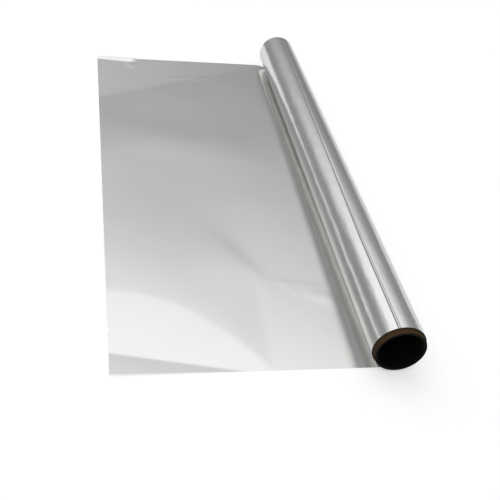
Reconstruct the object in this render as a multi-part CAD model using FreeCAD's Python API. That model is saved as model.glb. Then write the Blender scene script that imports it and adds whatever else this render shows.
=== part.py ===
"""Kitchen aluminium foil roll, with the free end of the foil drawn out flat beside it.

The roll lies on a table, at z = 0. Its axis runs along +Y, and the free sheet lies towards -X.
The origin is on the table, under the middle of the whole outline.
Two pieces: a wound board tube, and one web of foil that is wound on it and runs out as the sheet.
Two distances place a spot on the sheet: out, from the roll's line of contact, and along, from the near edge.
"""

import FreeCAD, Part
import math
import os

# Board tube, in millimetres
TUBE_BORE_RADIUS = 15.5
TUBE_WALL = 1.9
TUBE_STANDS_OUT = 4.0      # out of the near end of the foil: the far ends are flush
TUBE_RIM_BEVEL = 0.35      # the cut rims are slightly crushed

# Foil web, in millimetres
WEB_WIDTH = 450.0
WOUND_BUILD = 1.1          # thickness of all the turns on the tube
FOIL_GAUGE = 0.3           # drawn thickness of the outer turn and of the sheet
FREE_LENGTH = 196.0        # from the line of contact to the cut edge, at the far side
CUT_SLANT = 12.0           # the cut isn't quite square: the near side is this much shorter
FLAT_BESIDE_ROLL = 6.0     # the sheet lies dead flat this far from the line of contact

# Turns that show in the two wound ends, in millimetres
TURN_PITCH = 0.4           # one drawn turn stands for a bundle of real ones
TURN_GAP = 0.15
TURN_GAP_DEPTH = 0.6
INNER_TURNS_BUILD = 0.2    # left whole next to the tube

# Relief of the free sheet: lengths in millimetres, slopes as rise over run
RELIEF_RAMP = 16.0         # past the flat, the relief comes in over this distance
NEAR_CURL_SLOPE = 0.075    # the near corner curls up beyond a straight fold
NEAR_CURL_WIDTH = 19.0     # width of the curled strip at the cut edge
NEAR_CURL_START = 99.0     # distance out at which the fold leaves the near edge
BANK_SLOPE = 0.032         # behind the fold the sheet climbs to a low curved crest
BANK_ALONG = 75.0          # from the near edge to the crest, at the cut edge
BANK_OUT = 104.0           # from the cut edge to the crest, at the near edge
BANK_RUN_OUT = 160.0       # past the crest, the sheet comes down again over this distance
ROLL_SIDE_LIFT = 2.6       # beside the roll, the far edge stands this much off the table
FAR_CORNER_LIFT = 2.2      # the far corner rises beyond a soft crease
FAR_CORNER_ALONG = 87.0    # how far the crease runs from the far corner down the cut edge
FAR_CORNER_OUT = 190.0     # and how far it runs from the corner along the far edge
FAR_CORNER_POWER = 1.2     # above 1, the crease is softer
FLAP_SLOPE = 0.34          # within that corner, a narrow pointed strip of the edge is turned up
FLAP_LENGTH = 37.0         # from the cut edge to the strip's widest place
FLAP_END = 5.0             # and from there to its point on the far edge
FLAP_WIDTH = 8.0
FLAP_CORNER_WIDTH = 4.5
# Low swells, with their place as shares of the way out and along, half length, half widths of the
# near and the far flank, turn of the length away from the roll's direction in degrees, and height
SWELLS = (
    (0.43, 0.24, 34.0, 26.0, 9.0, 37.0, 0.35),
    (0.17, 0.155, 14.0, 7.0, 7.0, 60.0, 0.2),
    (0.71, 0.64, 95.0, 32.0, 32.0, 70.0, 0.6),
)

# Spacing of the net that carries the sheet's surface, in millimetres
NET_STEP = 8.0
EDGE_NET_STEP = 3.0
EDGE_NET_BAND = 24.0

# Worked out from the sizes above
TUBE_RADIUS = TUBE_BORE_RADIUS + TUBE_WALL
ROLL_RADIUS = TUBE_RADIUS + WOUND_BUILD
TUBE_LENGTH = WEB_WIDTH + TUBE_STANDS_OUT
FREE_LENGTH_NEAR = FREE_LENGTH - CUT_SLANT
ROLL_X = (FREE_LENGTH - ROLL_RADIUS) / 2
TUBE_NEAR_Y = -TUBE_LENGTH / 2
WEB_NEAR_Y = TUBE_NEAR_Y + TUBE_STANDS_OUT
AXIS = FreeCAD.Vector(0, 1, 0)


def smooth(share):
    """0 below 0, 1 above 1, and an S curve between."""
    share = min(1.0, max(0.0, share))
    return share * share * (3 - 2 * share)


def free_length(along):
    return FREE_LENGTH_NEAR + CUT_SLANT * along / WEB_WIDTH


def swell_rise(out, along, swell):
    out_share, along_share, half_length, near_half_width, far_half_width, turn, height = swell
    turn = math.radians(turn)
    off_out = out - out_share * FREE_LENGTH
    off_along = along - along_share * WEB_WIDTH
    lengthwise = off_along * math.cos(turn) + off_out * math.sin(turn)
    crosswise = off_out * math.cos(turn) - off_along * math.sin(turn)
    half_width = near_half_width if crosswise > 0 else far_half_width
    return height * math.exp(-(lengthwise / half_length) ** 2 - (crosswise / half_width) ** 2)


def near_rise(out, along):
    """Lift of the strip curled up beyond the near corner's fold, and of the bank behind it."""
    to_cut = FREE_LENGTH_NEAR - out
    fold = max(0.0, NEAR_CURL_WIDTH * (1 - to_cut / (FREE_LENGTH_NEAR - NEAR_CURL_START)))
    crest = BANK_ALONG * max(0.0, 1 - (to_cut / BANK_OUT) ** 2)
    if along < fold:
        return NEAR_CURL_SLOPE * (fold - along)
    if along < crest:
        return BANK_SLOPE * (along - fold)
    return BANK_SLOPE * max(0.0, crest - fold) * (1 - smooth((along - crest) / BANK_RUN_OUT))


def far_rise(out, along):
    """Lift of the sheet beside the roll, of the far corner, and of the pointed strip turned up in it."""
    to_far = WEB_WIDTH - along
    to_cut = free_length(along) - out
    beside_roll = ROLL_SIDE_LIFT * along / WEB_WIDTH * (1 - smooth(out / FREE_LENGTH))
    past_crease = max(0.0, 1 - to_far / FAR_CORNER_ALONG - to_cut / FAR_CORNER_OUT)
    widening = FLAP_CORNER_WIDTH + (FLAP_WIDTH - FLAP_CORNER_WIDTH) * to_cut / FLAP_LENGTH
    closing = FLAP_WIDTH * (FLAP_LENGTH + FLAP_END - to_cut) / FLAP_END
    flap = FLAP_SLOPE * max(0.0, min(widening, closing) - to_far)
    return beside_roll + FAR_CORNER_LIFT * past_crease ** FAR_CORNER_POWER + flap


def sheet_rise(out, along):
    """Height of the sheet's underside over the table."""
    swells = sum(swell_rise(out, along, swell) for swell in SWELLS)
    share = smooth((out - FLAT_BESIDE_ROLL) / RELIEF_RAMP)
    return share * (swells + near_rise(out, along) + far_rise(out, along))


def half_turns(radius, pitch, numbers):
    """Section of a spiral that starts under the roll's axis and goes up the side away from the sheet first.

    Each half turn is half a pitch smaller than the last, and every second one has its centre half a pitch up.
    """
    arcs = []
    for number in numbers:
        side = -1 if number % 2 else 1
        arc_radius = radius - number * pitch / 2
        centre_z = ROLL_RADIUS + (number % 2) * pitch / 2
        below = FreeCAD.Vector(ROLL_X, WEB_NEAR_Y, centre_z - arc_radius)
        beside = FreeCAD.Vector(ROLL_X + side * arc_radius, WEB_NEAR_Y, centre_z)
        above = FreeCAD.Vector(ROLL_X, WEB_NEAR_Y, centre_z + arc_radius)
        arcs.append(Part.Arc(below, beside, above).toShape())
    return arcs


def wound_turns():
    """The turns, with the flat start of the sheet: one spiral section, drawn out to the web's width."""
    sheet_x = ROLL_X - FLAT_BESIDE_ROLL
    flat_start = Part.makePolygon([
        FreeCAD.Vector(ROLL_X, WEB_NEAR_Y, FOIL_GAUGE),
        FreeCAD.Vector(sheet_x, WEB_NEAR_Y, FOIL_GAUGE),
        FreeCAD.Vector(sheet_x, WEB_NEAR_Y, 0),
        FreeCAD.Vector(ROLL_X, WEB_NEAR_Y, 0),
    ])
    outline = Part.Wire(Part.__sortEdges__(half_turns(ROLL_RADIUS, FOIL_GAUGE, range(2)) + flat_start.Edges))
    tube_hole = Part.Wire(Part.makeCircle(TUBE_RADIUS, FreeCAD.Vector(ROLL_X, WEB_NEAR_Y, ROLL_RADIUS), AXIS))
    return Part.Face([outline, tube_hole]).extrude(AXIS * WEB_WIDTH)


def turn_gaps():
    """The gap between turns that shows in each wound end: a spiral slot, a little way in.

    It starts on top of the roll, half a turn in, so that it stays clear of the crease where the sheet leaves.
    """
    outer_radius = ROLL_RADIUS - FOIL_GAUGE
    room = WOUND_BUILD - FOIL_GAUGE - TURN_GAP - INNER_TURNS_BUILD
    count = int(room / (TURN_PITCH / 2))
    if count < 1:
        return []
    outer = half_turns(outer_radius, TURN_PITCH, range(1, count + 1))
    inner = half_turns(outer_radius - TURN_GAP, TURN_PITCH, range(1, count + 1))
    start = Part.makeLine(outer[0].Vertexes[1].Point, inner[0].Vertexes[1].Point)
    last_corner = 0 if count % 2 else 1
    end = Part.makeLine(outer[-1].Vertexes[last_corner].Point, inner[-1].Vertexes[last_corner].Point)
    section = Part.Face(Part.Wire(Part.__sortEdges__(outer + inner + [start, end])))
    near = section.extrude(AXIS * TURN_GAP_DEPTH)
    far = near.translated(AXIS * (WEB_WIDTH - TURN_GAP_DEPTH))
    return [near, far]


def stops(length):
    """Places from 0 to length, closer together in a band beside each end."""
    band_steps = math.ceil(EDGE_NET_BAND / EDGE_NET_STEP)
    band = [EDGE_NET_BAND * i / band_steps for i in range(band_steps)]
    inner_length = length - 2 * EDGE_NET_BAND
    steps = math.ceil(inner_length / NET_STEP)
    inner = [EDGE_NET_BAND + inner_length * i / steps for i in range(steps + 1)]
    return band + inner + [length - place for place in reversed(band)]


def net_places(places):
    """Where the poles of a cubic surface stand, so that it runs evenly past these places."""
    padded = places[:1] * 3 + places + places[-1:] * 3
    return [sum(padded[i + 1:i + 4]) / 3 for i in range(len(places) + 2)]


def knot_counts(places):
    return [4] + [1] * (len(places) - 2) + [4]


def free_sheet():
    """The sheet beyond its flat start: a cubic surface over a net of heights, given its thickness.

    The surface lies within its net, so it never dips below the table.
    """
    reach = FREE_LENGTH - FLAT_BESIDE_ROLL
    across = stops(reach)
    lengthwise = stops(WEB_WIDTH)
    poles = []
    for place in net_places(across):
        row = []
        for along in net_places(lengthwise):
            out = FLAT_BESIDE_ROLL + place / reach * (free_length(along) - FLAT_BESIDE_ROLL)
            row.append(FreeCAD.Vector(ROLL_X - out, WEB_NEAR_Y + along, sheet_rise(out, along)))
        poles.append(row)
    surface = Part.BSplineSurface()
    surface.buildFromPolesMultsKnots(
        poles, knot_counts(across), knot_counts(lengthwise), across, lengthwise, False, False, 3, 3)
    return surface.toShape().extrude(FreeCAD.Vector(0, 0, FOIL_GAUGE))


def foil():
    web = wound_turns().fuse(free_sheet())
    for gap in turn_gaps():
        web = web.cut(gap)
    return web


def core_tube():
    """The tube's wall section, with bevelled rims, turned about the roll's axis."""
    inner = TUBE_BORE_RADIUS
    outer = TUBE_RADIUS
    near = TUBE_NEAR_Y
    far = TUBE_NEAR_Y + TUBE_LENGTH
    bevel = TUBE_RIM_BEVEL
    wall = (
        (inner, near + bevel),
        (inner + bevel, near),
        (outer - bevel, near),
        (outer, near + bevel),
        (outer, far - bevel),
        (outer - bevel, far),
        (inner + bevel, far),
        (inner, far - bevel),
        (inner, near + bevel),
    )
    corners = [FreeCAD.Vector(ROLL_X + radius, y, ROLL_RADIUS) for radius, y in wall]
    section = Part.Face(Part.makePolygon(corners))
    return section.revolve(FreeCAD.Vector(ROLL_X, 0, ROLL_RADIUS), AXIS, 360)


def main():
    os.makedirs("parts", exist_ok=True)
    for name, shape in (("core_tube", core_tube()), ("foil", foil())):
        box = shape.BoundBox
        print(name, "valid", shape.isValid(), "solids", len(shape.Solids), "volume", round(shape.Volume, 1))
        print("  x %.2f %.2f  y %.2f %.2f  z %.3f %.3f" % (
            box.XMin, box.XMax, box.YMin, box.YMax, box.ZMin, box.ZMax))
        shape.exportStep("parts/%s.step" % name)


main()
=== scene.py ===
import math

import bpy
from bpy.props import FloatProperty, FloatVectorProperty, IntProperty, PointerProperty
from mathutils import Matrix, Vector, noise


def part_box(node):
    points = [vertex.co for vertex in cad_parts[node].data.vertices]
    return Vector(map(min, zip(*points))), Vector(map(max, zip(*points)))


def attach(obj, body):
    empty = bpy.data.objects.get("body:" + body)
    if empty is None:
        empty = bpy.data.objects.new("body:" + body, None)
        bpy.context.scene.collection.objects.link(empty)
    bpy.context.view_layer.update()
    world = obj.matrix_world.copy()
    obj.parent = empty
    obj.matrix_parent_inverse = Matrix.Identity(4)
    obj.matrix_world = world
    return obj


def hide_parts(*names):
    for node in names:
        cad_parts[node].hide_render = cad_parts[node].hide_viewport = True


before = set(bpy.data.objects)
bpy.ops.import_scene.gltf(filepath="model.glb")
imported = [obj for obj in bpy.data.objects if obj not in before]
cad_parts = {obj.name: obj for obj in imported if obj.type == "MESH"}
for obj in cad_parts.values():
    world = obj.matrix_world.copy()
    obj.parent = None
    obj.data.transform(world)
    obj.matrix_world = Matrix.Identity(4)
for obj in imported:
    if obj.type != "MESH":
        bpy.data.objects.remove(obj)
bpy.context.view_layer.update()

bl_info = {
    "name": "Foil Roll",
    "version": (1, 0, 0),
    "blender": (4, 5, 0),
    "location": "View3D > Sidebar > Foil Roll",
    "description": "A kitchen foil roll on its board tube, with the free end drawn out flat",
    "category": "Object",
}

MM = 0.001
# Two places closer than this count as one
NEARLY = 0.01 * MM
MERGE_DISTANCE = 0.001 * MM
# Faces that meet at less than this angle are shaded as one surface
SMOOTH_ANGLE = math.radians(35)

# Places that come from the frame
FOIL_LOW, FOIL_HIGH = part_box("foil")
TUBE_LOW, TUBE_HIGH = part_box("core_tube")
ROLL_RADIUS = FOIL_HIGH[2] / 2
ROLL_X = FOIL_HIGH[0] - ROLL_RADIUS
ROLL_CENTRE = Vector((ROLL_X, 0, ROLL_RADIUS))
NEAR_Y = FOIL_LOW[1]
FAR_Y = FOIL_HIGH[1]
WEB_WIDTH = FAR_Y - NEAR_Y
FREE_LENGTH = ROLL_X - FOIL_LOW[0]
TUBE_RADIUS = (TUBE_HIGH[0] - TUBE_LOW[0]) / 2

# The sheet's outline and relief: near the solid's, with a flatter turned-up strip in a higher far corner
CUT_SLANT = 12.0 * MM
FLAT_BESIDE_ROLL = 6.0 * MM
BESIDE_ROLL_RAMP = 16.0 * MM
NEAR_CURL_SLOPE = 0.075
NEAR_CURL_WIDTH = 19.0 * MM
NEAR_CURL_START = 99.0 * MM
BANK_SLOPE = 0.032
BANK_ALONG = 75.0 * MM
BANK_OUT = 104.0 * MM
BANK_RUN_OUT = 160.0 * MM
ROLL_SIDE_LIFT = 2.6 * MM
FAR_CORNER_LIFT = 3.3 * MM
FAR_CORNER_ALONG = 87.0 * MM
FAR_CORNER_OUT = 190.0 * MM
FAR_CORNER_POWER = 1.2
FLAP_SLOPE = 0.24
FLAP_LENGTH = 37.0 * MM
FLAP_END = 5.0 * MM
FLAP_WIDTH = 8.0 * MM
FLAP_CORNER_WIDTH = 4.5 * MM
# Low swells: shares of the way out and along, half length, half widths of the near and the far flank
# in millimetres, turn from the roll's direction in degrees, and height in millimetres
SWELLS = (
    (0.455, 0.2415, 31.0, 26.0, 8.0, 31.0, 0.38),
    (1.0, 0.58, 48.0, 85.0, 30.0, 90.0, 0.5),
    (0.17, 0.155, 14.0, 7.0, 7.0, 60.0, 0.2),
    (0.71, 0.64, 95.0, 32.0, 32.0, 70.0, 0.6),
)
# Fine creases: from out and along, to out and along, half width and height, all in millimetres
CREASES = (
    (128.0, 408.0, 81.0, 415.0, 2.2, 0.06),
    (92.0, 407.0, 82.0, 415.0, 1.6, 0.22),
    (163.0, 444.0, 160.0, 431.0, 1.8, 0.28),
    (60.0, 84.0, 11.0, 77.0, 2.0, 0.07),
    (62.0, 88.0, 50.0, 72.0, 2.2, 0.08),
    (22.0, 78.0, 17.0, 52.0, 2.5, 0.06),
)
# Share of its length over which a crease fades in and out, and how square its ridge is
CREASE_FADE = 0.25
CREASE_POWER = 1.5
# A nick in the cut edge, and the edge's slight waviness
NICK_ALONG = 39.4 * MM
NICK_HALF_WIDTH = 3.0 * MM
NICK_DEPTH = 1.6 * MM
CUT_WAVE = 0.35 * MM
CUT_WAVE_LENGTH = 22.0 * MM
CUT_WAVE_ROW = 3.0
# The nick and the waviness fade away over this last share of the free length
TRIMMED_SHARE = 1 / 12
# How strongly evenly spaced lines are drawn together at the ends of a length
END_CLOSENESS = 0.6

# How far the outer turn lies inside a true round, in long soft flats and in short ripples:
# depth, fineness round the roll, and length along it
TURN_SLACK = 0.10 * MM
TURN_SLACK_WAVES = 1.6
TURN_SLACK_LENGTH = 110.0 * MM
TURN_RIPPLE = 0.025 * MM
TURN_RIPPLE_WAVES = 5.0
TURN_RIPPLE_LENGTH = 35.0 * MM
TURN_RIPPLE_SHIFT = 7.0
# Angle over which the slack sets in on both sides of the line of contact
SLACK_ONSET = 0.5
# Room between the outer turn and the turns under it, and the divisions of these around the roll
TURN_ROOM = 0.135 * MM
WOUND_STEPS = 120
# The ends of the turns: divisions from the tube out, depth of the gaps between the turns,
# and how much deeper each next turn's edge lies than the one inside it
END_CUTS = 7
END_GAP_DEPTH = 0.3 * MM
END_STEP = 0.05 * MM

# A groove in the outer turn. Its place is measured round the roll from the line of contact.
# It is straight up to its bend, drifts over the top to the right beyond it, and is shallow on the far half.
GROOVE_ROUND = 62.3 * MM
GROOVE_BEND = 90.0 * MM
GROOVE_DRIFT = 0.0186
GROOVE_HALF_WIDTH = 1.4 * MM
GROOVE_DEEP_TO = 110.0 * MM
GROOVE_SHALLOW_FROM = 260.0 * MM
GROOVE_SHALLOW = 0.35

# How the foil's outer side is darkened at grazing angles, a painted shade standing in for darker
# surroundings in the roll's rims, and the inner side, which isn't
BRIGHT_EDGE_PAINTED_SHADE = (0.68, 0.68, 0.68)
SATIN_EDGE_TINT = (1, 1, 1)
# Fineness of the foil's marks: out from the roll or round it, and along it
CRUMPLE_SCALE = (22, 14, 1)
DENT_SCALE = (130, 35, 1)
LINE_SCALE = (6, 900, 1)
GRAIN_SCALE = (2200, 2200, 1)
CLOUD_SCALE = (9, 7, 1)
# Height of the rolling lines and of the grain, in bump distances
LINE_HEIGHT = 0.012
GRAIN_HEIGHT = 0.006
# How much the roughness varies in clouds and in streaks, and how much the clouds darken the foil
ROUGHNESS_CLOUDS = 0.10
ROUGHNESS_STREAKS = 0.06
CLOUD_SHADE = 0.05
# The ends of the turns: pitch of their fine round lines, and range and lowest value of their painted shade,
# near black as in the gaps between the turns
END_LINE_PITCH = 0.09 * MM
END_PATCH_SCALE = 220
END_PAINTED_SHADES = (0.03, 0.04)
# The board: pitch of the seam, its share of the pitch and its shade, fineness of fibres and patches,
# and range and lowest value of their shades
SEAM_PITCH = 60.0 * MM
SEAM_SHARE = 0.02
SEAM_SHADE = 0.35
FIBRE_SCALE = (1400, 500, 1400)
BOARD_PATCH_SCALE = 120
FIBRE_SHADES = (0.7, 0.45)
PATCH_SHADES = (0.6, 0.7)

# The stage: the floor lies this far under the table's plane, and glows where it is seen or mirrored
FLOOR_DROP = 0.02 * MM
FLOOR_GLOW = 0.49
# The soft light's place and size
KEY_PLACE = Vector((-0.9, 0.55, 1.7))
KEY_SIZE = (3.4, 3.0)
# Where the camera stands
CAMERA_LEFT_OF_ROLL = 185.2 * MM
CAMERA_BEFORE_ROLL = 302.5 * MM
CAMERA_HEIGHT = 344.9 * MM
SENSOR_WIDTH = 36.0
# Brightness of the surroundings by height, 0 at the horizon and 1 straight overhead
SKY_STRENGTH = 1.2
SKY_LOWEST = -0.5
SKY_STEPS = (
    (SKY_LOWEST, 0.42), (-0.25, 0.32), (0.0, 0.22), (0.2, 0.245), (0.3, 0.27), (0.36, 0.275),
    (0.42, 0.285), (0.46, 0.33), (0.50, 0.42), (0.54, 0.485), (0.58, 0.545), (0.62, 0.62),
    (0.66, 0.73), (0.70, 0.85), (0.76, 0.96), (0.84, 0.95), (0.93, 0.6), (1.0, 0.5),
)
# Added to the height per unit that the direction leans to the right and to the left,
# per unit further to the left than one value, and to the right where it points away more than another
SKY_TO_RIGHT = -0.16
SKY_TO_LEFT = -0.28
SKY_PAST_LEFT = 1.5
SKY_PAST_LEFT_FROM = 0.42
SKY_FAR_RIGHT = -1.1
SKY_FAR_FROM = 0.75


def smooth(share):
    """0 below 0, 1 above 1, and an S curve between."""
    share = min(1.0, max(0.0, share))
    return share * share * (3 - 2 * share)


def free_length(along):
    """Length of the free sheet up to the straight slanted cut."""
    return FREE_LENGTH - CUT_SLANT * (1 - along / WEB_WIDTH)


def cut_place(along):
    """Distance out of the cut edge, with its nick and waviness, always inside the straight cut."""
    wave = 0.5 + 0.5 * noise.noise(Vector((along / CUT_WAVE_LENGTH, CUT_WAVE_ROW, 0)))
    nick = max(0.0, 1 - abs(along - NICK_ALONG) / NICK_HALF_WIDTH)
    return free_length(along) - CUT_WAVE * wave - NICK_DEPTH * nick


def swell_rise(out, along, swell):
    """A low swell with a steeper flank on one side."""
    out_share, along_share, half_length, near_half_width, far_half_width, turn, height = swell
    turn = math.radians(turn)
    off_out = out - out_share * FREE_LENGTH
    off_along = along - along_share * WEB_WIDTH
    lengthwise = off_along * math.cos(turn) + off_out * math.sin(turn)
    crosswise = off_out * math.cos(turn) - off_along * math.sin(turn)
    half_width = near_half_width if crosswise > 0 else far_half_width
    from_middle = (lengthwise / half_length / MM) ** 2 + (crosswise / half_width / MM) ** 2
    return height * MM * math.exp(-from_middle)


def near_rise(out, along):
    """The near corner's strip curled up beyond its fold, and the bank with its rounded crest behind it."""
    to_cut = FREE_LENGTH - CUT_SLANT - out
    fold = max(0.0, NEAR_CURL_WIDTH * (1 - to_cut / (FREE_LENGTH - CUT_SLANT - NEAR_CURL_START)))
    if along < fold:
        return NEAR_CURL_SLOPE * (fold - along)
    crest = BANK_ALONG * max(0.0, 1 - (to_cut / BANK_OUT) ** 2)
    if along < crest:
        return BANK_SLOPE * (along - fold)
    if crest <= fold:
        return 0.0
    return BANK_SLOPE * (crest - fold) * (1 - smooth((along - crest) / BANK_RUN_OUT))


def far_rise(out, along):
    """Lift of the sheet beside the roll, of the far corner, and of the pointed strip turned up in it."""
    to_far = WEB_WIDTH - along
    to_cut = free_length(along) - out
    beside = ROLL_SIDE_LIFT * along / WEB_WIDTH * (1 - smooth(out / FREE_LENGTH))
    past_crease = max(0.0, 1 - to_far / FAR_CORNER_ALONG - to_cut / FAR_CORNER_OUT)
    corner = FAR_CORNER_LIFT * past_crease ** FAR_CORNER_POWER
    widening = FLAP_CORNER_WIDTH + (FLAP_WIDTH - FLAP_CORNER_WIDTH) * to_cut / FLAP_LENGTH
    closing = FLAP_WIDTH * (FLAP_LENGTH + FLAP_END - to_cut) / FLAP_END
    flap = FLAP_SLOPE * max(0.0, min(widening, closing) - to_far)
    return beside + corner + flap


def crease_rise(out, along, crease):
    """A soft ridge along a line, fading towards its ends."""
    half_width, height = crease[4:6]
    start = Vector(crease[0:2]) * MM
    line = Vector(crease[2:4]) * MM - start
    spot = Vector((out, along)) - start
    share = spot.dot(line) / line.length_squared
    aside = abs(spot.x * line.y - spot.y * line.x) / line.length
    fade = smooth(share / CREASE_FADE + 0.5) * smooth((1 - share) / CREASE_FADE + 0.5)
    return height * MM * fade * math.exp(-(aside / half_width / MM) ** CREASE_POWER)


def sheet_rise(out, along):
    """Height of the sheet's underside over the table."""
    swells = sum(swell_rise(out, along, swell) for swell in SWELLS)
    creases = sum(crease_rise(out, along, crease) for crease in CREASES)
    beside_roll = smooth((out - FLAT_BESIDE_ROLL) / BESIDE_ROLL_RAMP)
    return beside_roll * (swells + near_rise(out, along) + far_rise(out, along) + creases)


def closer_at_ends(share):
    """Share of a length that draws evenly spaced lines together at both ends."""
    return share - END_CLOSENESS * math.sin(2 * math.pi * share) / (2 * math.pi)


def noise_round_roll(angle, along, waves, length, shift):
    """Noise from 0 to 1 that closes on itself round the roll."""
    spot = Vector((math.cos(angle) * waves, math.sin(angle) * waves, along / length + shift))
    return 0.5 + 0.5 * noise.noise(spot)


def turn_dip(angle, along):
    """How far the outer turn lies inside a true round, at an angle from the line of contact."""
    slack = noise_round_roll(angle, along, TURN_SLACK_WAVES, TURN_SLACK_LENGTH, 0)
    ripple = noise_round_roll(angle, along, TURN_RIPPLE_WAVES, TURN_RIPPLE_LENGTH, TURN_RIPPLE_SHIFT)
    return TURN_SLACK * slack + TURN_RIPPLE * ripple


class FoilSettings(bpy.types.PropertyGroup):
    gauge: FloatProperty(
        name="Gauge", description="Drawn thickness of the foil", default=0.12 * MM,
        min=0.02 * MM, max=0.3 * MM, subtype="DISTANCE", unit="LENGTH", precision=5)
    out_columns: IntProperty(
        name="Columns", description="Divisions of the sheet from the roll to the cut edge",
        default=100, min=20)
    width_rows: IntProperty(
        name="Rows", description="Divisions of the web across its width", default=200, min=40)
    turn_steps: IntProperty(
        name="Turn steps", description="Divisions of the outer turn around the roll", default=96, min=32)
    colour: FloatVectorProperty(
        name="Foil colour", description="Colour of the bare metal", default=(0.862, 0.87, 0.855),
        subtype="COLOR", min=0, max=1, size=3)
    satin_roughness: FloatProperty(
        name="Satin side", description="Roughness of the inner, satin side", default=0.22,
        min=0, max=1, subtype="FACTOR")
    bright_roughness: FloatProperty(
        name="Bright side", description="Roughness of the outer, bright side", default=0.24,
        min=0, max=1, subtype="FACTOR")


class TubeSettings(bpy.types.PropertyGroup):
    wall: FloatProperty(
        name="Wall", description="Thickness of the tube's wall", default=1.9 * MM, min=0.5 * MM,
        subtype="DISTANCE", unit="LENGTH", precision=5)
    rim_bevel: FloatProperty(
        name="Rim bevel", description="Crushed edge of the cut rims", default=0.35 * MM, min=0,
        subtype="DISTANCE", unit="LENGTH", precision=5)
    steps: IntProperty(name="Steps", description="Divisions around the tube", default=144, min=32)
    # Partly the kraft board's own brown, partly painted shade: the board colour is darkened to the tone of
    # the tube's band in shade
    board_colour_with_painted_shade: FloatVectorProperty(
        name="Board colour", description="Colour of the outer ply", default=(0.068, 0.038, 0.015),
        subtype="COLOR", min=0, max=1, size=3)
    # Painted shade: the bore colour makes the inner ply and the cut rims near black, as they lie in shade
    bore_painted_shade: FloatVectorProperty(
        name="Bore colour", description="Colour of the cut rim and of the inner ply",
        default=(0.004, 0.0025, 0.002), subtype="COLOR", min=0, max=1, size=3)


class StageSettings(bpy.types.PropertyGroup):
    floor_size: FloatProperty(
        name="Floor", description="Width of the floor", default=8.0, subtype="DISTANCE", unit="LENGTH")
    floor_colour: FloatVectorProperty(
        name="Floor colour", description="Colour of the floor", default=(0.62, 0.62, 0.62),
        subtype="COLOR", min=0, max=1, size=3)
    key_power: FloatProperty(
        name="Key light", description="Power of the soft light up on the left", default=16.0,
        subtype="POWER", unit="POWER")
    camera_azimuth: FloatProperty(
        name="Camera azimuth", description="Turn of the view from the roll's direction", subtype="ANGLE",
        default=math.radians(-14.25))
    camera_elevation: FloatProperty(
        name="Camera elevation", description="Slope of the view down to the table", subtype="ANGLE",
        default=math.radians(38.18))
    camera_roll: FloatProperty(
        name="Camera roll", description="Tilt of the frame about the view", subtype="ANGLE",
        default=math.radians(9.0))
    camera_focal_length: FloatProperty(
        name="Lens", description="Focal length on a 36 mm sensor", default=52.18,
        subtype="DISTANCE_CAMERA", unit="CAMERA")


def deselect_all():
    bpy.ops.object.select_all(action="DESELECT")


def select_in_edit(piece, wanted):
    """Select the vertices for which wanted is true, and stay in edit mode."""
    bpy.ops.object.mode_set(mode="EDIT")
    bpy.ops.mesh.select_mode(type="VERT")
    bpy.ops.mesh.select_all(action="DESELECT")
    bpy.ops.object.mode_set(mode="OBJECT")
    for vertex in piece.data.vertices:
        vertex.select = wanted(vertex.co)
    bpy.ops.object.mode_set(mode="EDIT")


def finish_piece(piece, name, replaced, materials):
    piece.name = name
    piece.data.name = name
    piece.data.materials.clear()
    for material in materials:
        piece.data.materials.append(material)
    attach(piece, "root")
    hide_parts(replaced)


def new_material(name):
    material = bpy.data.materials.new(name)
    material.use_nodes = True
    tree = material.node_tree
    tree.nodes.clear()
    output = tree.nodes.new("ShaderNodeOutputMaterial")
    shader = tree.nodes.new("ShaderNodeBsdfPrincipled")
    tree.links.new(shader.outputs["BSDF"], output.inputs["Surface"])
    return material, tree, shader


def new_group(name, inputs, outputs):
    """A shader node group with these sockets, and its input and output nodes."""
    group = bpy.data.node_groups.new(name, "ShaderNodeTree")
    for socket, kind, default in inputs:
        made = group.interface.new_socket(socket, in_out="INPUT", socket_type=kind)
        if default is not None:
            made.default_value = default
    for socket, kind in outputs:
        group.interface.new_socket(socket, in_out="OUTPUT", socket_type=kind)
    return group, group.nodes.new("NodeGroupInput"), group.nodes.new("NodeGroupOutput")


def add_noise(tree, vector, scale, detail, roughness=0.5):
    made = tree.nodes.new("ShaderNodeTexNoise")
    made.inputs["Scale"].default_value = scale
    made.inputs["Detail"].default_value = detail
    made.inputs["Roughness"].default_value = roughness
    tree.links.new(vector, made.inputs["Vector"])
    return made.outputs["Fac"]


def add_math(tree, operation, first, second=None, third=None):
    made = tree.nodes.new("ShaderNodeMath")
    made.operation = operation
    for index, value in enumerate((first, second, third)):
        if value is None:
            continue
        if isinstance(value, (int, float)):
            made.inputs[index].default_value = value
        else:
            tree.links.new(value, made.inputs[index])
    return made.outputs["Value"]


def add_fade(tree, value, start, end, first, last):
    """First below start, last above end, and an S curve between."""
    made = tree.nodes.new("ShaderNodeMapRange")
    made.interpolation_type = "SMOOTHSTEP"
    made.inputs["From Min"].default_value = start
    made.inputs["From Max"].default_value = end
    made.inputs["To Min"].default_value = first
    made.inputs["To Max"].default_value = last
    tree.links.new(value, made.inputs["Value"])
    return made.outputs["Result"]


def add_tint(tree, colour, shade):
    """A colour, from a socket or as red, green and blue, times a shade."""
    made = tree.nodes.new("ShaderNodeMix")
    made.data_type = "RGBA"
    made.blend_type = "MULTIPLY"
    made.inputs["Factor"].default_value = 1.0
    if isinstance(colour, bpy.types.NodeSocket):
        tree.links.new(colour, made.inputs["A"])
    else:
        made.inputs["A"].default_value = (*colour, 1)
    tree.links.new(shade, made.inputs["B"])
    return made.outputs["Result"]


def add_bump(tree, shader, height, strength, distance):
    bump = tree.nodes.new("ShaderNodeBump")
    bump.inputs["Strength"].default_value = strength
    bump.inputs["Distance"].default_value = distance
    tree.links.new(height, bump.inputs["Height"])
    tree.links.new(bump.outputs["Normal"], shader.inputs["Normal"])


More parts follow.
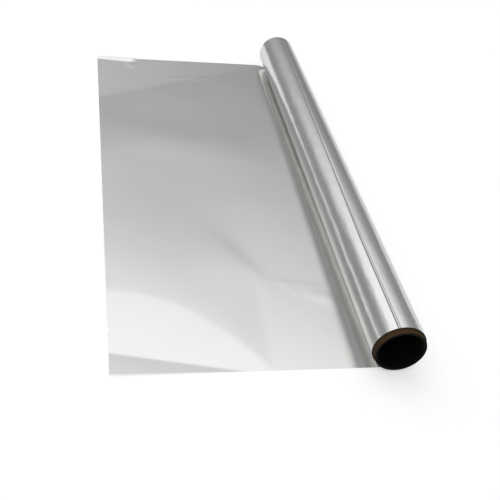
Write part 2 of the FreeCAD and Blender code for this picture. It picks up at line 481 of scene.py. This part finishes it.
def places_on_roll(tree):
    """Object coordinates, and the same from the middle of the roll's axis."""
    place = tree.nodes.new("ShaderNodeTexCoord")
    centred = tree.nodes.new("ShaderNodeVectorMath")
    centred.operation = "SUBTRACT"
    centred.inputs[1].default_value = ROLL_CENTRE
    tree.links.new(place.outputs["Object"], centred.inputs[0])
    return place.outputs["Object"], centred.outputs["Vector"]


def scaled_vector(tree, vector, scale):
    made = tree.nodes.new("ShaderNodeMapping")
    made.inputs["Scale"].default_value = scale
    tree.links.new(vector, made.inputs["Vector"])
    return made.outputs["Vector"]


def add_stretched_noise(tree, vector, scale, detail, roughness):
    """Noise with its own fineness along each axis."""
    return add_noise(tree, scaled_vector(tree, vector, scale), 1.0, detail, roughness)


def add_groove(tree, web):
    """The groove along the top of the roll, 1 on its floor where it is deep."""
    place = tree.nodes.new("ShaderNodeSeparateXYZ")
    tree.links.new(web, place.inputs["Vector"])
    round_roll = place.outputs["X"]
    along = place.outputs["Y"]
    past_bend = add_math(tree, "MAXIMUM", add_math(tree, "SUBTRACT", along, GROOVE_BEND), 0)
    floor_line = add_math(tree, "MULTIPLY_ADD", past_bend, -GROOVE_DRIFT, GROOVE_ROUND)
    aside = add_math(tree, "ABSOLUTE", add_math(tree, "SUBTRACT", round_roll, floor_line))
    profile = add_fade(tree, aside, 0, GROOVE_HALF_WIDTH, 1, 0)
    depth = add_fade(tree, along, GROOVE_DEEP_TO, GROOVE_SHALLOW_FROM, 1, GROOVE_SHALLOW)
    return add_math(tree, "MULTIPLY", profile, depth)


def foil_surface_group():
    """Crumples, dents, the groove, rolling lines and fine grain of foil, laid along the web."""
    name = "Foil surface"
    if name in bpy.data.node_groups:
        return bpy.data.node_groups[name]
    group, given, result = new_group(
        name,
        [("Web", "NodeSocketVector", None), ("Crumple", "NodeSocketFloat", 0.5),
         ("Dents", "NodeSocketFloat", 0.0), ("Lines", "NodeSocketFloat", 0.5),
         ("Groove", "NodeSocketFloat", 0.0), ("Roughness", "NodeSocketFloat", 0.3),
         ("Colour", "NodeSocketColor", None)],
        [("Height", "NodeSocketFloat"), ("Roughness", "NodeSocketFloat"), ("Colour", "NodeSocketColor")])
    web = given.outputs["Web"]
    crumple = add_stretched_noise(group, web, CRUMPLE_SCALE, detail=2.0, roughness=0.4)
    lines = add_stretched_noise(group, web, LINE_SCALE, detail=3.0, roughness=0.6)
    grain = add_stretched_noise(group, web, GRAIN_SCALE, detail=2.0, roughness=0.5)
    dents = add_stretched_noise(group, web, DENT_SCALE, detail=2.0, roughness=0.5)
    height = add_math(group, "MULTIPLY", crumple, given.outputs["Crumple"])
    height = add_math(group, "MULTIPLY_ADD", dents, given.outputs["Dents"], height)
    height = add_math(group, "MULTIPLY_ADD", add_groove(group, web), given.outputs["Groove"], height)
    line_height = add_math(group, "MULTIPLY", lines, given.outputs["Lines"])
    height = add_math(group, "MULTIPLY_ADD", line_height, LINE_HEIGHT, height)
    height = add_math(group, "MULTIPLY_ADD", grain, GRAIN_HEIGHT, height)
    group.links.new(height, result.inputs["Height"])
    cloud = add_stretched_noise(group, web, CLOUD_SCALE, detail=3.0, roughness=0.55)
    spread = add_math(group, "MULTIPLY_ADD", cloud, ROUGHNESS_CLOUDS, -ROUGHNESS_CLOUDS / 2)
    streak = add_math(group, "MULTIPLY_ADD", lines, ROUGHNESS_STREAKS, -ROUGHNESS_STREAKS / 2)
    rough = add_math(group, "ADD", add_math(group, "ADD", spread, streak), given.outputs["Roughness"])
    group.links.new(rough, result.inputs["Roughness"])
    shade = add_math(group, "MULTIPLY_ADD", cloud, CLOUD_SHADE, 1 - CLOUD_SHADE)
    group.links.new(add_tint(group, given.outputs["Colour"], shade), result.inputs["Colour"])
    return group


def foil_material(name, colour, edge_tint, roughness, crumple, dents, lines, groove, bump_distance):
    """Bare metal with the foil's surface. The edge tint is its shade at grazing angles, on the bright side
    a painted shade.
    """
    material, tree, shader = new_material(name)
    web = tree.nodes.new("ShaderNodeUVMap")
    web.uv_map = "web"
    surface = tree.nodes.new("ShaderNodeGroup")
    surface.node_tree = foil_surface_group()
    surface.inputs["Crumple"].default_value = crumple
    surface.inputs["Dents"].default_value = dents
    surface.inputs["Lines"].default_value = lines
    surface.inputs["Groove"].default_value = groove
    surface.inputs["Roughness"].default_value = roughness
    surface.inputs["Colour"].default_value = (*colour, 1)
    tree.links.new(web.outputs["UV"], surface.inputs["Web"])
    add_bump(tree, shader, surface.outputs["Height"], strength=1.0, distance=bump_distance)
    tree.links.new(surface.outputs["Colour"], shader.inputs["Base Color"])
    tree.links.new(surface.outputs["Roughness"], shader.inputs["Roughness"])
    shader.inputs["Metallic"].default_value = 1.0
    shader.inputs["Specular Tint"].default_value = (*edge_tint, 1)
    return material


def wound_edge_material(colour):
    """The ends of the turns: rough metal with fine round lines, painted near black as the shade in the gaps
    between turns.
    """
    material, tree, shader = new_material("wound_edges_painted_shade")
    place, from_middle = places_on_roll(tree)
    flat = tree.nodes.new("ShaderNodeVectorMath")
    flat.operation = "MULTIPLY"
    flat.inputs[1].default_value = (1, 0, 1)
    tree.links.new(from_middle, flat.inputs[0])
    radius = tree.nodes.new("ShaderNodeVectorMath")
    radius.operation = "LENGTH"
    tree.links.new(flat.outputs["Vector"], radius.inputs[0])
    phase = add_math(tree, "MULTIPLY", radius.outputs["Value"], 2 * math.pi / END_LINE_PITCH)
    rings = add_math(tree, "SINE", phase)
    patches = add_noise(tree, place, END_PATCH_SCALE, detail=3.0)
    # Painted shade: the turns' ends are darkened to near black, as the gaps between them lie in shade
    shade = add_math(tree, "MULTIPLY_ADD", add_math(tree, "ADD", rings, patches), *END_PAINTED_SHADES)
    tree.links.new(add_tint(tree, colour, shade), shader.inputs["Base Color"])
    add_bump(tree, shader, rings, strength=0.6, distance=0.05 * MM)
    shader.inputs["Metallic"].default_value = 0.6
    shader.inputs["Roughness"].default_value = 0.6
    return material


def board_material(name, colour):
    """Kraft board: fibres along the helix of the plies, their seam, and worn patches."""
    material, tree, shader = new_material(name)
    place, from_middle = places_on_roll(tree)
    axes = tree.nodes.new("ShaderNodeSeparateXYZ")
    tree.links.new(from_middle, axes.inputs["Vector"])
    angle = add_math(tree, "ARCTAN2", axes.outputs["Z"], axes.outputs["X"])
    turn = add_math(tree, "DIVIDE", angle, 2 * math.pi)
    helix = add_math(tree, "ADD", add_math(tree, "DIVIDE", axes.outputs["Y"], SEAM_PITCH), turn)
    seam = add_math(tree, "LESS_THAN", add_math(tree, "FRACT", helix), SEAM_SHARE)
    fibres = add_stretched_noise(tree, place, FIBRE_SCALE, detail=4.0, roughness=0.6)
    patches = add_noise(tree, place, BOARD_PATCH_SCALE, detail=3.0)
    shade = add_math(tree, "MULTIPLY_ADD", fibres, *FIBRE_SHADES)
    shade = add_math(tree, "MULTIPLY", shade, add_math(tree, "MULTIPLY_ADD", patches, *PATCH_SHADES))
    shade = add_math(tree, "MULTIPLY_ADD", seam, -SEAM_SHADE, shade)
    tree.links.new(add_tint(tree, colour, shade), shader.inputs["Base Color"])
    relief = add_math(tree, "SUBTRACT", fibres, seam)
    add_bump(tree, shader, relief, strength=0.8, distance=0.08 * MM)
    shader.inputs["Roughness"].default_value = 0.85
    shader.inputs["Specular IOR Level"].default_value = 0.15
    return material


class FOILROLL_OT_add_web(bpy.types.Operator):
    """Add the foil: the free sheet and the outer turn, as one thin skin"""
    bl_idname = "foilroll.add_web"
    bl_label = "Add foil web"

    def execute(self, context):
        settings = context.scene.foil_web
        deselect_all()
        bpy.ops.mesh.primitive_grid_add(
            x_subdivisions=settings.out_columns, y_subdivisions=settings.width_rows, size=1,
            location=(ROLL_X - FREE_LENGTH / 2, NEAR_Y + WEB_WIDTH / 2, 0))
        web = context.object
        web.scale = (FREE_LENGTH, WEB_WIDTH, 1)
        bpy.ops.object.transform_apply(location=True, rotation=True, scale=True)
        sheet_vertices = len(web.data.vertices)
        self.spin_outer_turn(web, settings)
        self.shape(web, settings, sheet_vertices)
        self.face_outwards(web)
        outer = foil_material(
            # The bright side's edge tint is painted shade on the roll's rims
            "bright_side", settings.colour, BRIGHT_EDGE_PAINTED_SHADE, settings.bright_roughness,
            crumple=0.35, dents=0.5, lines=0.15, groove=-1.0, bump_distance=0.6 * MM)
        inner = foil_material(
            "satin_side", settings.colour, SATIN_EDGE_TINT, settings.satin_roughness,
            crumple=0.5, dents=0, lines=0.15, groove=0, bump_distance=0.5 * MM)
        finish_piece(web, "foil_web", "foil", (outer, inner))
        self.thicken(web, settings)
        return {"FINISHED"}

    def spin_outer_turn(self, web, settings):
        """Extrude the roll's side of the sheet once round the roll, under it first."""
        select_in_edit(web, lambda co: co.x > ROLL_X - NEARLY)
        bpy.ops.mesh.spin(
            steps=settings.turn_steps, angle=-2 * math.pi, center=ROLL_CENTRE, axis=(0, 1, 0))
        bpy.ops.object.mode_set(mode="OBJECT")

    def shape(self, web, settings, sheet_vertices):
        """Give the sheet its slanted cut and relief, and the turn its spiral and its slack."""
        rows = settings.width_rows + 1
        uv_of = []
        for vertex in web.data.vertices:
            along = WEB_WIDTH * closer_at_ends((vertex.co.y - NEAR_Y) / WEB_WIDTH)
            vertex.co.y = NEAR_Y + along
            if vertex.index < sheet_vertices:
                out = FREE_LENGTH * closer_at_ends((ROLL_X - vertex.co.x) / FREE_LENGTH)
                beyond = max(0.0, out - FLAT_BESIDE_ROLL)
                if beyond:
                    share = beyond / (FREE_LENGTH - FLAT_BESIDE_ROLL)
                    straight = share * (free_length(along) - FLAT_BESIDE_ROLL)
                    near_cut = smooth(1 - (1 - share) / TRIMMED_SHARE)
                    trimmed = (free_length(along) - cut_place(along)) * near_cut
                    out = FLAT_BESIDE_ROLL + straight - trimmed
                vertex.co.x = ROLL_X - out
                vertex.co.z = sheet_rise(out, along)
                uv_of.append((-out, along))
            else:
                step = 1 + (vertex.index - sheet_vertices) // rows
                angle = 2 * math.pi * step / settings.turn_steps
                slackened = smooth(min(angle, 2 * math.pi - angle) / SLACK_ONSET)
                spiral = ROLL_RADIUS - settings.gauge * angle / (2 * math.pi)
                radius = spiral - slackened * turn_dip(angle, along)
                vertex.co.x = ROLL_X + radius * math.sin(angle)
                vertex.co.z = ROLL_RADIUS - radius * math.cos(angle)
                uv_of.append((ROLL_RADIUS * angle, along))
        layer = web.data.uv_layers.active or web.data.uv_layers.new()
        layer.name = "web"
        for loop in web.data.loops:
            layer.uv[loop.index].vector = uv_of[loop.vertex_index]

    def face_outwards(self, web):
        """Turn the sheet's faces down to the table, and so the outer turn's away from the axis."""
        web.data.update()
        lowest_face = min(web.data.polygons, key=lambda face: face.center.x)
        if lowest_face.normal.z > 0:
            bpy.ops.object.mode_set(mode="EDIT")
            bpy.ops.mesh.select_all(action="SELECT")
            bpy.ops.mesh.flip_normals()
            bpy.ops.object.mode_set(mode="OBJECT")

    def thicken(self, web, settings):
        skin = web.modifiers.new("Gauge", "SOLIDIFY")
        skin.thickness = settings.gauge
        skin.offset = -1
        skin.material_offset = 1
        skin.material_offset_rim = 1
        bpy.ops.object.modifier_apply(modifier=skin.name)
        bpy.ops.object.shade_smooth_by_angle(angle=SMOOTH_ANGLE)


class FOILROLL_OT_add_wound_turns(bpy.types.Operator):
    """Add the turns under the outer one, with their edges in both ends of the roll"""
    bl_idname = "foilroll.add_wound_turns"
    bl_label = "Add wound turns"

    def execute(self, context):
        gauge = context.scene.foil_web.gauge
        inner = TUBE_RADIUS
        outer = ROLL_RADIUS - gauge - TURN_ROOM
        deselect_all()
        bpy.ops.mesh.primitive_plane_add(
            size=1, location=(ROLL_X + (inner + outer) / 2, NEAR_Y + WEB_WIDTH / 2, ROLL_RADIUS))
        turns = context.object
        turns.scale = (outer - inner, WEB_WIDTH, 1)
        bpy.ops.object.transform_apply(location=True, rotation=True, scale=True)
        for end, inwards in ((NEAR_Y, 1), (FAR_Y, -1)):
            select_in_edit(turns, lambda co: abs(co.y - end) < NEARLY)
            bpy.ops.mesh.subdivide(number_cuts=END_CUTS)
            bpy.ops.object.mode_set(mode="OBJECT")
            edge = [vertex for vertex in turns.data.vertices if abs(vertex.co.y - end) < NEARLY]
            edge.sort(key=lambda vertex: vertex.co.x)
            for number, vertex in enumerate(edge):
                depth = END_GAP_DEPTH if number % 2 else END_STEP * number / 2
                vertex.co.y += inwards * depth
        select_in_edit(turns, lambda co: True)
        bpy.ops.mesh.delete(type="ONLY_FACE")
        bpy.ops.mesh.select_all(action="SELECT")
        bpy.ops.mesh.spin(steps=WOUND_STEPS, angle=2 * math.pi, center=ROLL_CENTRE, axis=(0, 1, 0))
        bpy.ops.mesh.select_all(action="SELECT")
        bpy.ops.mesh.remove_doubles(threshold=MERGE_DISTANCE)
        bpy.ops.mesh.normals_make_consistent(inside=False)
        bpy.ops.object.mode_set(mode="OBJECT")
        bpy.ops.object.shade_smooth_by_angle(angle=SMOOTH_ANGLE)
        finish_piece(turns, "wound_turns", "foil",
                     (wound_edge_material(context.scene.foil_web.colour),))
        return {"FINISHED"}


class FOILROLL_OT_add_core_tube(bpy.types.Operator):
    """Add the board tube that the foil is wound on"""
    bl_idname = "foilroll.add_core_tube"
    bl_label = "Add core tube"

    def execute(self, context):
        settings = context.scene.foil_tube
        length = TUBE_HIGH[1] - TUBE_LOW[1]
        wall_x = ROLL_X + TUBE_RADIUS - settings.wall / 2
        deselect_all()
        bpy.ops.mesh.primitive_plane_add(
            size=1, location=(wall_x, TUBE_LOW[1] + length / 2, ROLL_RADIUS))
        tube = context.object
        tube.scale = (settings.wall, length, 1)
        bpy.ops.object.transform_apply(location=True, rotation=True, scale=True)
        bpy.ops.object.mode_set(mode="EDIT")
        bpy.ops.mesh.select_mode(type="VERT")
        bpy.ops.mesh.select_all(action="SELECT")
        bpy.ops.mesh.bevel(offset=settings.rim_bevel, segments=3, affect="VERTICES")
        bpy.ops.mesh.select_all(action="SELECT")
        bpy.ops.mesh.delete(type="ONLY_FACE")
        bpy.ops.mesh.select_all(action="SELECT")
        bpy.ops.mesh.spin(steps=settings.steps, angle=2 * math.pi, center=ROLL_CENTRE, axis=(0, 1, 0))
        bpy.ops.mesh.select_all(action="SELECT")
        bpy.ops.mesh.remove_doubles(threshold=MERGE_DISTANCE)
        bpy.ops.mesh.normals_make_consistent(inside=False)
        bpy.ops.object.mode_set(mode="OBJECT")
        bpy.ops.object.shade_smooth_by_angle(angle=SMOOTH_ANGLE)
        outer = board_material("outer_board", settings.board_colour_with_painted_shade)
        # The bore takes the painted shade colour
        inner = board_material("bore_board_painted_shade", settings.bore_painted_shade)
        finish_piece(tube, "board_tube", "core_tube", (outer, inner))
        outer_skin = TUBE_RADIUS - settings.rim_bevel
        # The cut rims get the bore's painted shade, the outer skin the board colour
        for face in tube.data.polygons:
            from_axis = face.center - ROLL_CENTRE
            face.material_index = 0 if math.hypot(from_axis.x, from_axis.z) > outer_skin else 1
        return {"FINISHED"}


class FOILROLL_OT_add_stage(bpy.types.Operator):
    """Add the floor, the studio light and the camera"""
    bl_idname = "foilroll.add_stage"
    bl_label = "Add stage"

    def execute(self, context):
        settings = context.scene.foil_stage
        self.add_floor(context, settings)
        self.add_key_light(context, settings)
        self.light_world(context)
        self.add_camera(context, settings)
        context.scene.view_settings.view_transform = "Standard"
        return {"FINISHED"}

    def add_floor(self, context, settings):
        deselect_all()
        bpy.ops.mesh.primitive_plane_add(size=settings.floor_size, location=(0, 0, -FLOOR_DROP))
        floor = context.object
        floor.name = "floor"
        bpy.ops.object.transform_apply(location=True, rotation=True, scale=True)
        material, tree, shader = new_material("floor")
        shader.inputs["Base Color"].default_value = (*settings.floor_colour, 1)
        shader.inputs["Roughness"].default_value = 0.9
        shader.inputs["Specular IOR Level"].default_value = 0.1
        path = tree.nodes.new("ShaderNodeLightPath")
        seen = add_math(tree, "MAXIMUM", path.outputs["Is Camera Ray"], path.outputs["Is Glossy Ray"])
        seen = add_math(tree, "MAXIMUM", seen, path.outputs["Is Transmission Ray"])
        tree.links.new(add_math(tree, "MULTIPLY", seen, FLOOR_GLOW), shader.inputs["Emission Strength"])
        shader.inputs["Emission Color"].default_value = (1, 1, 1, 1)
        floor.data.materials.append(material)

    def add_key_light(self, context, settings):
        deselect_all()
        bpy.ops.object.light_add(type="AREA", location=KEY_PLACE)
        key = context.object
        key.name = "key_light"
        key.data.shape = "RECTANGLE"
        key.data.size = KEY_SIZE[0]
        key.data.size_y = KEY_SIZE[1]
        key.data.energy = settings.key_power
        key.visible_glossy = False
        key.rotation_euler = (-KEY_PLACE).to_track_quat("-Z", "Y").to_euler()

    def light_world(self, context):
        """A soft studio: grey round the horizon, brightest high up, and softer straight overhead."""
        world = bpy.data.worlds.new("studio")
        context.scene.world = world
        world.use_nodes = True
        tree = world.node_tree
        tree.nodes.clear()
        output = tree.nodes.new("ShaderNodeOutputWorld")
        background = tree.nodes.new("ShaderNodeBackground")
        direction = tree.nodes.new("ShaderNodeTexCoord")
        axes = tree.nodes.new("ShaderNodeSeparateXYZ")
        ramp = tree.nodes.new("ShaderNodeValToRGB")
        ramp.color_ramp.interpolation = "LINEAR"
        for height, _ in SKY_STEPS[1:-1]:
            ramp.color_ramp.elements.new((height - SKY_LOWEST) / (1 - SKY_LOWEST))
        for element, (_, level) in zip(ramp.color_ramp.elements, SKY_STEPS):
            element.color = (level, level, level, 1)
        background.inputs["Strength"].default_value = SKY_STRENGTH
        tree.links.new(direction.outputs["Generated"], axes.inputs["Vector"])
        to_right = add_math(tree, "MAXIMUM", axes.outputs["X"], 0)
        to_left = add_math(tree, "MINIMUM", axes.outputs["X"], 0)
        left_of_start = add_math(tree, "ADD", axes.outputs["X"], SKY_PAST_LEFT_FROM)
        past_left = add_math(tree, "MINIMUM", left_of_start, 0)
        beyond_start = add_math(tree, "SUBTRACT", axes.outputs["Y"], SKY_FAR_FROM)
        far_off = add_math(tree, "MAXIMUM", beyond_start, 0)
        far_right = add_math(tree, "MULTIPLY", to_right, far_off)
        height = add_math(tree, "MULTIPLY_ADD", to_right, SKY_TO_RIGHT, axes.outputs["Z"])
        height = add_math(tree, "MULTIPLY_ADD", to_left, SKY_TO_LEFT, height)
        height = add_math(tree, "MULTIPLY_ADD", past_left, SKY_PAST_LEFT, height)
        height = add_math(tree, "MULTIPLY_ADD", far_right, SKY_FAR_RIGHT, height)
        above_lowest = add_math(tree, "SUBTRACT", height, SKY_LOWEST)
        share = add_math(tree, "MULTIPLY", above_lowest, 1 / (1 - SKY_LOWEST))
        tree.links.new(share, ramp.inputs["Fac"])
        tree.links.new(ramp.outputs["Color"], background.inputs["Color"])
        tree.links.new(background.outputs["Background"], output.inputs["Surface"])

    def add_camera(self, context, settings):
        deselect_all()
        bpy.ops.object.camera_add()
        camera = context.object
        camera.name = "photo_camera"
        azimuth = settings.camera_azimuth
        elevation = settings.camera_elevation
        ahead = Vector((
            -math.sin(azimuth) * math.cos(elevation),
            math.cos(azimuth) * math.cos(elevation),
            -math.sin(elevation)))
        level = ahead.cross(Vector((0, 0, 1))).normalized()
        upright = level.cross(ahead)
        tilt = Matrix.Rotation(settings.camera_roll, 3, -ahead)
        right = tilt @ level
        above = tilt @ upright
        turned = Matrix((right, above, -ahead)).transposed()
        camera_place = Vector((ROLL_X - CAMERA_LEFT_OF_ROLL, NEAR_Y - CAMERA_BEFORE_ROLL, CAMERA_HEIGHT))
        camera.matrix_world = Matrix.Translation(camera_place) @ turned.to_4x4()
        camera.data.sensor_width = SENSOR_WIDTH
        camera.data.lens = settings.camera_focal_length
        context.scene.camera = camera


class FOILROLL_PT_panel(bpy.types.Panel):
    bl_idname = "FOILROLL_PT_panel"
    bl_label = "Foil Roll"
    bl_space_type = "VIEW_3D"
    bl_region_type = "UI"
    bl_category = "Foil Roll"

    def draw(self, context):
        layout = self.layout
        for title, settings, operators in (
            ("Foil", context.scene.foil_web, ("foilroll.add_web", "foilroll.add_wound_turns")),
            ("Tube", context.scene.foil_tube, ("foilroll.add_core_tube",)),
            ("Stage", context.scene.foil_stage, ("foilroll.add_stage",)),
        ):
            box = layout.box()
            box.label(text=title)
            for name in settings.__annotations__:
                box.prop(settings, name)
            for operator in operators:
                box.operator(operator)


CLASSES = (
    FoilSettings,
    TubeSettings,
    StageSettings,
    FOILROLL_OT_add_web,
    FOILROLL_OT_add_wound_turns,
    FOILROLL_OT_add_core_tube,
    FOILROLL_OT_add_stage,
    FOILROLL_PT_panel,
)


def register():
    for cls in CLASSES:
        bpy.utils.register_class(cls)
    bpy.types.Scene.foil_web = PointerProperty(type=FoilSettings)
    bpy.types.Scene.foil_tube = PointerProperty(type=TubeSettings)
    bpy.types.Scene.foil_stage = PointerProperty(type=StageSettings)


def unregister():
    del bpy.types.Scene.foil_stage
    del bpy.types.Scene.foil_tube
    del bpy.types.Scene.foil_web
    for cls in reversed(CLASSES):
        bpy.utils.unregister_class(cls)


def main():
    register()
    bpy.ops.foilroll.add_web()
    bpy.ops.foilroll.add_wound_turns()
    bpy.ops.foilroll.add_core_tube()
    bpy.ops.foilroll.add_stage()


if __name__ == "__main__":
    main()
